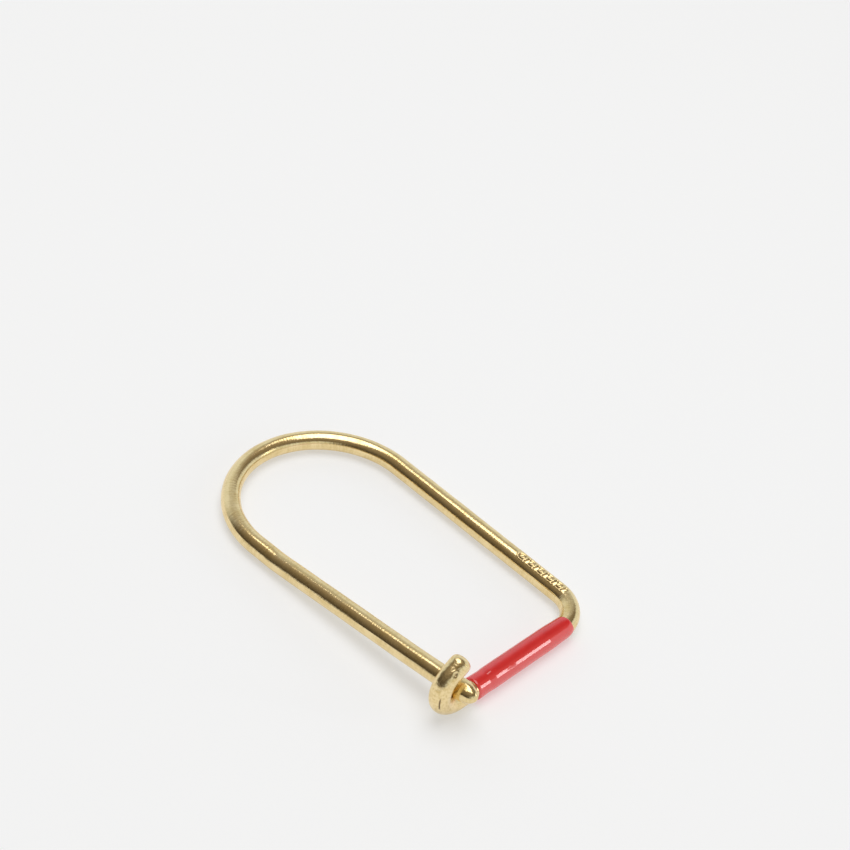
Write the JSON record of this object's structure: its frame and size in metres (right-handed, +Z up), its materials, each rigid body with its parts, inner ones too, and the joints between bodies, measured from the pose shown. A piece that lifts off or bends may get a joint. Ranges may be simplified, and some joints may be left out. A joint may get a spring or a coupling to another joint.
{
  "type": "latching key ring",
  "caption": "Long D-shaped key ring bent from round brass wire, with a sprung leg that latches under a hook and an enamel-coated bar.",
  "frame": {"origin": "on the surface the ring lies on, under the middle of its bounding box", "axes": "+X from the hook towards the fixed leg, +Y from the bar towards the crown, +Z up out of the ring's face"},
  "size_m": [0.0371, 0.0633, 0.0117],
  "materials": {
    "brass_wire": "satin brushed along the wire",
    "enamel": "glossy fired enamel, slightly uneven"
  },
  "bodies": {
    "frame": {"wire_frame": "brass_wire", "enamel_sleeve": "enamel"},
    "gate": {"spring_leg": "brass_wire"}
  },
  "joints": [
    {"name": "gate_flex", "type": "hinge", "parent": "frame", "child": "gate", "pos_m": [0.00126, 0.03006, 0.00189], "axis": [-0.7071, 0, 0.7071], "range_deg": [0, 10], "stiffness_Nm_per_rad": 0.4, "springref_deg": -2.01}
  ]
}
